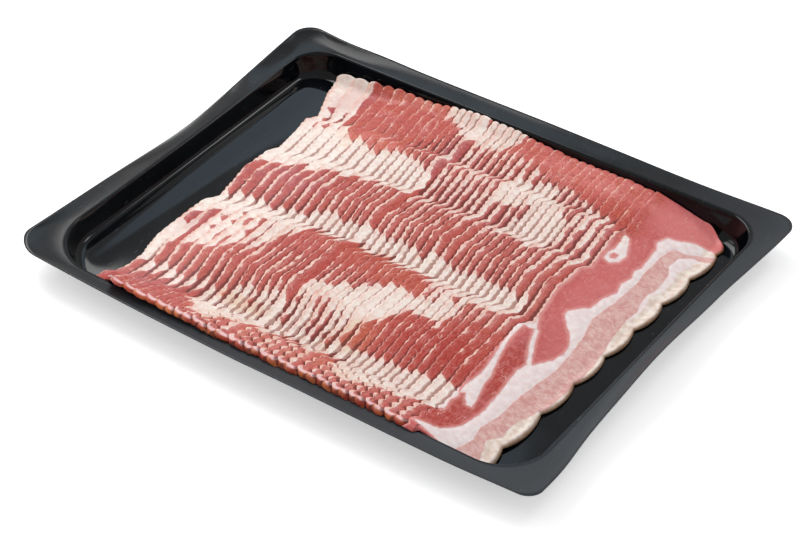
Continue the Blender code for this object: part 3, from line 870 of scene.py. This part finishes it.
def meatMaterial():
    material, board, shader = newMaterial("curedPork", {
        "IOR": 1.4, "Specular IOR Level": 0.4,
        "Subsurface Weight": 0.2, "Subsurface Radius": (1.0, 0.45, 0.32),
        "Subsurface Scale": 1.0 * mm})
    place = board.add("ShaderNodeTexCoord", output="Object")
    fat, pink, crease, lip, tip = (board.attribute(name)
                                   for name in ("fat", "pink", "crease", "lip", "tip"))
    tint, depth, sliceNumber = (board.attribute(name) for name in ("tint", "depth", "slice"))
    ragged, knob, soft = (board.attribute(name) for name in ("ragged", "knob", "soft"))
    calm = ragged.step(0.95, 0.55)  # 1 on the uncovered rasher
    apart = board.add("ShaderNodeCombineXYZ", None, {"X": sliceNumber * 13.1, "Y": sliceNumber * 7.7})
    own = board.scaled(place, (1000.0, 1000.0, 1000.0), apart)
    stretched = board.scaled(own, (1.0, 0.45, 1.0))
    streaked = board.scaled(own, (1.6, 0.28, 1.0))
    coarse = board.noise(stretched, 0.45, 2.0, 0.55)
    fine = board.noise(own, 1.5, 2.0, 0.6)
    border = fat + ((coarse - 0.5) * 2.8 + (fine - 0.5) * 1.4) * ragged
    isFat = (border * (1 - calm * 0.65) * (1 - soft * 0.85)).step(-0.15, 0.2)
    # muscle
    cloud = board.noise(own, 0.11, 3.0, 0.55)
    blotch = board.noise(own, 0.3, 2.0, 0.5)
    fibres = board.noise(streaked, 1.1, 3.0, 0.6)
    hue = tint + (cloud - 0.5) * 1.8
    lean = board.blend(hue.step(0.0, 1.0), linear(188, 76, 68), linear(200, 96, 66))
    lean = board.blend((0.0 - hue).step(0.0, 1.0), lean, linear(168, 70, 80))
    level = depth + (cloud - 0.5) * 0.8 + (blotch - 0.5) * 0.7
    lean = board.blend(level.step(0.0, 1.2), lean, linear(174, 38, 26))
    lean = board.blend((0.0 - level).step(0.0, 1.0), lean, linear(226, 132, 128))
    lean = board.blend(fibres.step(0.35, 0.8) * 0.4, lean, linear(224, 142, 128))
    lean = board.blend(fibres.step(0.5, 0.2) * 0.35, lean, linear(132, 48, 44))
    veinLine = board.noise(stretched, 0.2, 2.0, 0.5, 0.6).distance(0.5).step(0.012, 0.0)
    veins = veinLine * board.noise(own, 0.1, 1.0).step(0.45, 0.6)
    lean = board.blend(veins * 0.7, lean, linear(244, 202, 190))
    bead = board.noise(board.scaled(own, (0.12, 0.42, 1.0)), 0.8, 2.0, 0.5).distance(0.5)
    lean = board.blend(bead.step(0.035, 0.0) * (1 - calm) * 0.4, lean, linear(138, 50, 46))
    lean = board.blend(calm * depth.step(0.6, 0.0) * 0.45, lean, linear(212, 106, 110))
    lean = board.blend(calm * blotch.step(0.45, 0.7) * 0.35, lean, linear(226, 142, 140))
    halo = border.step(-2.4, 0.0) * lip.step(0.7, 0.2) * (0.35 + calm * 0.3)
    lean = board.blend(halo, lean, linear(234, 170, 164))
    clinging = lip.step(0.6, 0.92) * soft.step(0.3, 0.8) * fine.step(0.44, 0.58)
    lean = board.blend(clinging * 0.6, lean, linear(238, 178, 160))
    # the pale layer between the seam and the rind, with fine lines across it
    crossing = board.scaled(own, (0.3, 0.8, 1.0))
    crossLine = board.noise(crossing, 0.42, 2.0, 0.6, 0.5).distance(0.5).step(0.05, 0.0)
    layer = board.blend(blotch.step(0.3, 0.7), linear(214, 154, 147), linear(228, 184, 178))
    layer = board.blend(crossLine * 0.32, layer, linear(250, 230, 226))
    lean = board.blend(pink, lean, layer)
    # fat
    patch = board.noise(own, 0.35, 3.0, 0.6)
    plain = board.blend(patch.step(0.35, 0.7), linear(250, 237, 228), linear(238, 214, 204))
    plain = board.blend((tint + (cloud - 0.5)).step(0.2, 1.0) * 0.5, plain, linear(234, 198, 156))
    plain = board.blend((0.0 - tint).step(0.3, 1.0) * 0.6, plain, linear(220, 184, 178))
    seam = board.blend(blotch.step(0.25, 0.75), linear(248, 235, 234), linear(236, 216, 214))
    plain = board.blend(calm, plain, seam)
    rind = board.blend(blotch.step(0.3, 0.7), linear(242, 230, 220), linear(222, 198, 184))
    plain = board.blend(calm * crease.step(9.8, 8.6), plain, rind)
    lipColour = board.blend(patch.step(0.3, 0.7), linear(248, 206, 190), linear(228, 162, 146))
    fatColour = board.blend(lip, plain, lipColour)
    base = board.blend(isFat, lean, fatColour)
    # painted light on the ends along the front: a painted highlight on top of each knob, painted shade
    # between the knobs and orange-brown painted shade on the undersides of the ends
    base = board.blend(knob.step(0.1, 0.8) * 0.9, base, linear(247, 206, 206))
    # painted shade in the gaps between the knobs
    knobGapShade = tip.step(4.4, 3.2) * knob.step(0.22, 0.0)
    base = board.blend(knobGapShade * 0.75, base, linear(128, 44, 38))
    # orange-brown painted shade on the undersides of the front ends
    under = (tip + (fine - 0.5) * 1.2).step(2.0, 0.9)
    endUndersideShade = board.blend(cloud.step(0.4, 0.6), linear(178, 62, 38), linear(212, 120, 66))
    base = board.blend(under * 0.8, base, endUndersideShade)
    # pale specks all over: painted glints; they also give a little bump
    glintSpecks = board.noise(own, 2.6, 2.0, 0.7)
    base = board.blend(glintSpecks.step(0.66, 0.76) * 0.35, base, linear(248, 224, 216))
    # painted shade: each strip is darkened just before the next rasher's edge covers it, dark red-brown
    # on muscle and grey-brown on fat; on the uncovered rasher it is a yellow-brown painted shade line
    # along the outer edge of the rind
    dark = board.blend(isFat, linear(96, 34, 28), linear(162, 104, 90))
    dark = board.blend(calm, dark, linear(196, 146, 100))
    creaseShade = crease + (fine - 0.5) * 1.6 + (coarse - 0.5) * 1.2
    base = board.blend(creaseShade.step(2.35, 1.1) * 0.78, base, dark)
    roughness = 0.34 + isFat * 0.08 + (fine - 0.5) * 0.3
    height = fibres * 0.5 + fine * 0.7 + isFat * 0.6 + glintSpecks * 0.3
    feed(board, shader, Base_Color=base, Roughness=roughness,
         Normal=board.bump(height, 0.2 * mm, 0.7))
    return material


def buildRashers():
    meat, relief = meatMaterial(), reliefTree()
    for index in range(len(rasherNames) - 1):
        buildRasher(index, meat, relief)
    buildTopRasher(meat, relief)
    print(f"rashers: {len(rasherNames)} built")


# Floor, light and camera
studio = {
    "floorSize": 6.0,
    "floorColour": (0.93, 0.93, 0.93, 1.0),
    "worldColour": (1.0, 1.0, 1.0, 1.0),
    "worldStrength": 0.60,
    "floorGlow": 0.48,
    # name, direction to the light, distance, width, height, power, colour
    "lights": (
        ("keySoftbox", (-0.75, 0.30, 0.85), 1.9, 1.0, 1.0, 17.0, (1.0, 1.0, 1.0)),
        ("backSoftbox", (0.24, 0.66, 0.71), 1.7, 0.45, 0.3, 3.0, (1.0, 1.0, 1.0)),
        ("leftSoftbox", (-0.85, -0.25, 0.62), 1.8, 0.5, 0.8, 2.5, (1.0, 1.0, 1.0)),
        ("sheenSoftbox", (-0.427, 0.609, 0.667), 1.76, 0.3, 0.6, 0.6, (0.55, 0.8, 1.0)),
    ),
}
view = {
    "azimuth": math.radians(35.51),
    "elevation": math.radians(38.81),
    "distance": 1.2276,
    "target": Vector((2.04, -5.66, -2.97)) * mm,
    "lens": 104.5,
}


def buildStudio():
    half = studio["floorSize"] / 2
    corners = np.array([(-half, -half, 0), (half, -half, 0), (half, half, 0), (-half, half, 0)], float)
    material, board, shader = newMaterial("paleFloor", {"Roughness": 0.75})
    shader.inputs["Base Color"].default_value = studio["floorColour"]
    shader.inputs["Emission Color"].default_value = studio["floorColour"]
    shader.inputs["Emission Strength"].default_value = studio["floorGlow"]
    floor = newPiece("studio_floor", corners, [(0, 1, 2, 3)], material)
    world = bpy.data.worlds.new("studioWorld")
    world.use_nodes = True
    background = world.node_tree.nodes["Background"]
    background.inputs["Color"].default_value = studio["worldColour"]
    background.inputs["Strength"].default_value = studio["worldStrength"]
    scene = bpy.context.scene
    scene.world = world
    scene.view_settings.view_transform = "Standard"
    for name, direction, distance, width, height, power, colour in studio["lights"]:
        lamp = bpy.data.lights.new(name, "AREA")
        lamp.shape = "RECTANGLE"
        lamp.size, lamp.size_y, lamp.energy = width, height, power
        lamp.color = colour
        light = bpy.data.objects.new(name, lamp)
        light.location = Vector(direction).normalized() * distance
        light.rotation_euler = Vector(direction).to_track_quat("Z", "Y").to_euler()
        scene.collection.objects.link(light)
    lens = bpy.data.cameras.new("camera")
    lens.lens = view["lens"]
    lens.clip_start, lens.clip_end = 0.05, 20.0
    camera = bpy.data.objects.new("camera", lens)
    back = Vector((math.sin(view["azimuth"]) * math.cos(view["elevation"]),
                   -math.cos(view["azimuth"]) * math.cos(view["elevation"]),
                   math.sin(view["elevation"])))
    camera.location = view["target"] + back * view["distance"]
    camera.rotation_euler = back.to_track_quat("Z", "Y").to_euler()
    scene.collection.objects.link(camera)
    scene.camera = camera
    print("studio: ready")


buildTray()
print("tray: built")
buildRashers()
buildStudio()
